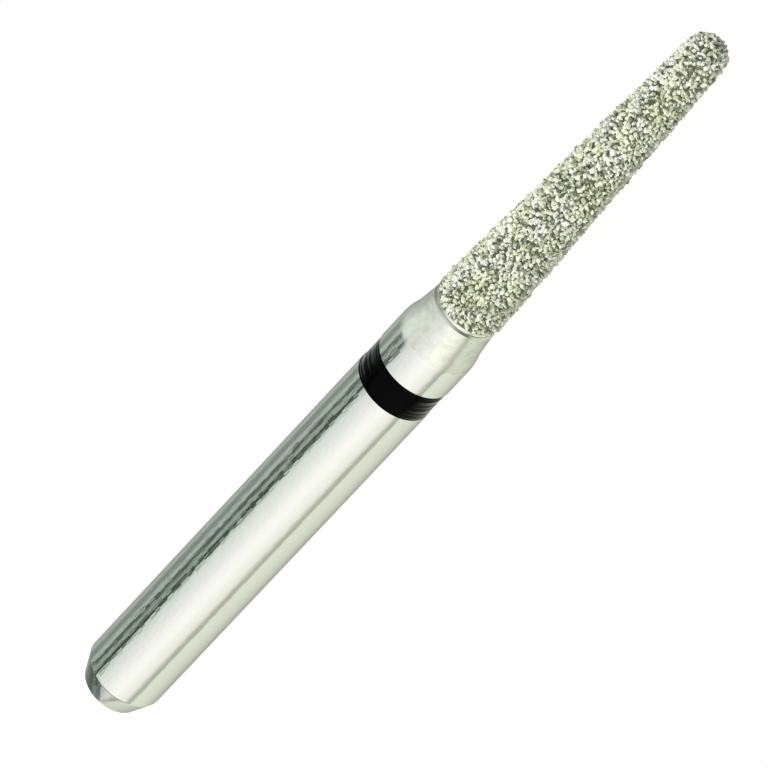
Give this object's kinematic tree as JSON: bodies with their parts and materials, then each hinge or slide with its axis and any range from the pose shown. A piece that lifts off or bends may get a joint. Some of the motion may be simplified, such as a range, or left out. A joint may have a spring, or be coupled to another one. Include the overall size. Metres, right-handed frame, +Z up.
{
  "type": "dental bur",
  "caption": "Tapered diamond bur with a rounded tip: straight steel friction-grip shank, black ring in a shallow groove, curved shoulder and a coarse gritted head.",
  "frame": {"origin": "centre of the flat end face of the shank, on the bur's axis", "axes": "+X along the axis, from the shank's end towards the diamond tip; the bur lies on its side with +Z up"},
  "size_m": [0.0202, 0.0016, 0.0016],
  "materials": {
    "steel": "ground stainless steel",
    "ring": "baked black enamel",
    "bond": "matt electroplated nickel",
    "grit": "crushed diamond, pale yellow-green"
  },
  "bodies": {
    "root": {"steel_blank": "steel", "colour_ring": "ring", "nickel_bond": "bond", "diamond_grains": "grit"}
  },
  "joints": []
}
